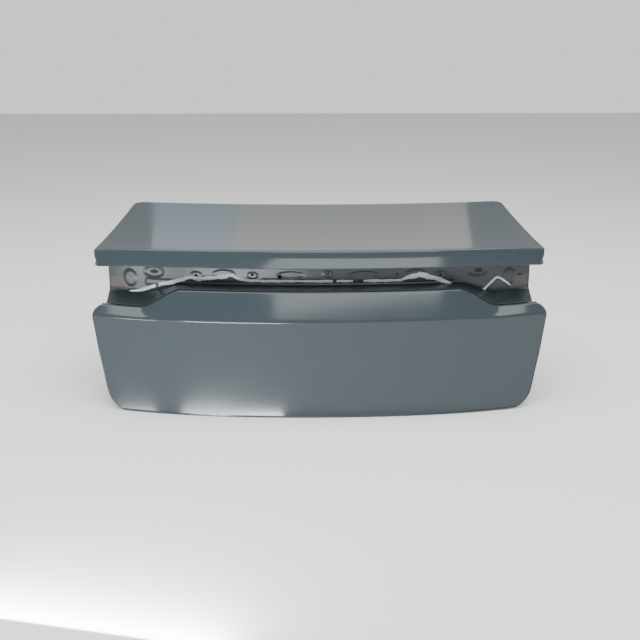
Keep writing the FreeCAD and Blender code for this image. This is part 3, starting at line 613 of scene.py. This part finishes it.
# Finishes of the kept CAD nodes.
slotOf = {
    "inner_panel": "inner_sheet",
    "hinge_reinforcement_left": "bracket_sheet", "hinge_reinforcement_right": "bracket_sheet",
    "latch_reinforcement": "bracket_sheet",
    "corner_bracket_left": "bracket_sheet", "corner_bracket_right": "bracket_sheet",
    "brace_left": "bracket_sheet", "brace_centre": "bracket_sheet", "brace_right": "bracket_sheet",
    "hinge_weld_nuts": "weld_nuts", "latch_weld_nuts": "weld_nuts", "lamp_weld_nuts": "weld_nuts",
    "deck_mastic": "mastic", "rear_mastic": "mastic", "seam_sealer": "sealer",
}
for nodeName, slotName in slotOf.items():
    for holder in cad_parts[nodeName].material_slots:
        holder.material = finishes[slotName]

# Floor, lights and camera.
studio = {
    "floorHalf": 6.0, "floorLevel": -0.4648, "backdrop": 1.0, "ambient": 0.6,
    # each light: place, aim, width and height, power in watts, colour
    "lights": {
        "overhead": ((0.0, -0.9, 2.9), (0.0, -0.9, 0.0), (4.5, 3.5), 200, (1, 1, 1)),
        "frontSoft": ((0.6, -4.2, 2.4), (0.0, -0.4, -0.2), (2.6, 1.6), 60, (1, 1, 1)),
        "warmCard": ((0.205, 1.6, 1.25), (0.205, 0.0, 0.0), (1.21, 1.3), 4.6, (1.0, 0.96, 0.82)),
        "blueCard": ((-0.63, 1.6, 1.25), (-0.63, 0.0, 0.0), (0.46, 1.3), 1.7, (0.72, 0.86, 1.0)),
        "stripLowA": ((-1.225, -1.42, -0.438), (-0.5, -0.35, -0.41), (0.33, 0.035), 1.9, (0.9, 0.95, 1.0)),
        "stripLowB": ((-0.48, -1.42, -0.438), (-0.23, -0.4, -0.41), (0.59, 0.035), 3.2, (0.92, 0.96, 1.0)),
        "stripHighA": ((-1.225, -1.42, -0.383), (-0.5, -0.35, -0.41), (0.33, 0.034), 1.9, (0.9, 0.95, 1.0)),
        "stripHighB": ((-0.48, -1.42, -0.383), (-0.23, -0.4, -0.41), (0.59, 0.034), 3.2, (0.92, 0.96, 1.0)),
    },
}


def makeStudio():
    floorMesh = bpy.data.meshes.new("floor")
    half, level = studio["floorHalf"], studio["floorLevel"]
    corners = [(-half, -half, level), (half, -half, level), (half, half, level), (-half, half, level)]
    floorMesh.from_pydata(corners, [], [(0, 1, 2, 3)])
    floor = bpy.data.objects.new("floor", floorMesh)
    bpy.context.scene.collection.objects.link(floor)
    pale = bpy.data.materials.new("paleFloor")
    pale.use_nodes = True
    pale.node_tree.nodes["Principled BSDF"].inputs["Base Color"].default_value = (0.92, 0.92, 0.92, 1)
    pale.node_tree.nodes["Principled BSDF"].inputs["Roughness"].default_value = 0.8
    floorMesh.materials.append(pale)
    world = bpy.data.worlds.new("studio")
    world.use_nodes = True
    nodes, links = world.node_tree.nodes, world.node_tree.links
    back, path, pick = nodes["Background"], nodes.new("ShaderNodeLightPath"), nodes.new("ShaderNodeMix")
    pick.inputs[2].default_value, pick.inputs[3].default_value = studio["ambient"], studio["backdrop"]
    links.new(path.outputs["Is Camera Ray"], pick.inputs["Factor"])
    back.inputs["Color"].default_value = (1.0, 1.0, 1.0, 1)
    links.new(pick.outputs[0], back.inputs["Strength"])
    bpy.context.scene.world = world
    for name, (place, aim, size, power, colour) in studio["lights"].items():
        lamp = bpy.data.lights.new(name, "AREA")
        lamp.shape, lamp.size, lamp.size_y = "RECTANGLE", size[0], size[1]
        lamp.energy, lamp.color = power, colour
        holder = bpy.data.objects.new(name, lamp)
        holder.location = place
        holder.rotation_euler = (Vector(aim) - Vector(place)).to_track_quat("-Z", "Y").to_euler()
        holder.visible_camera = False
        bpy.context.scene.collection.objects.link(holder)


def makeCamera():
    azimuth, elevation, distance = math.radians(-0.7), math.radians(18.0), 3.0
    level = math.cos(elevation)
    back = Vector((math.sin(azimuth) * level, -math.cos(azimuth) * level, math.sin(elevation)))
    data = bpy.data.cameras.new("camera")
    data.lens, data.sensor_width = 61.5, 36.0
    camera = bpy.data.objects.new("camera", data)
    camera.location = Vector((0.0, -0.330, -0.216)) + back * distance
    camera.rotation_euler = (-back).to_track_quat("-Z", "Y").to_euler()
    bpy.context.scene.collection.objects.link(camera)
    bpy.context.scene.camera = camera


makeStudio()
makeCamera()
print("stage 6: studio, lights and camera made")
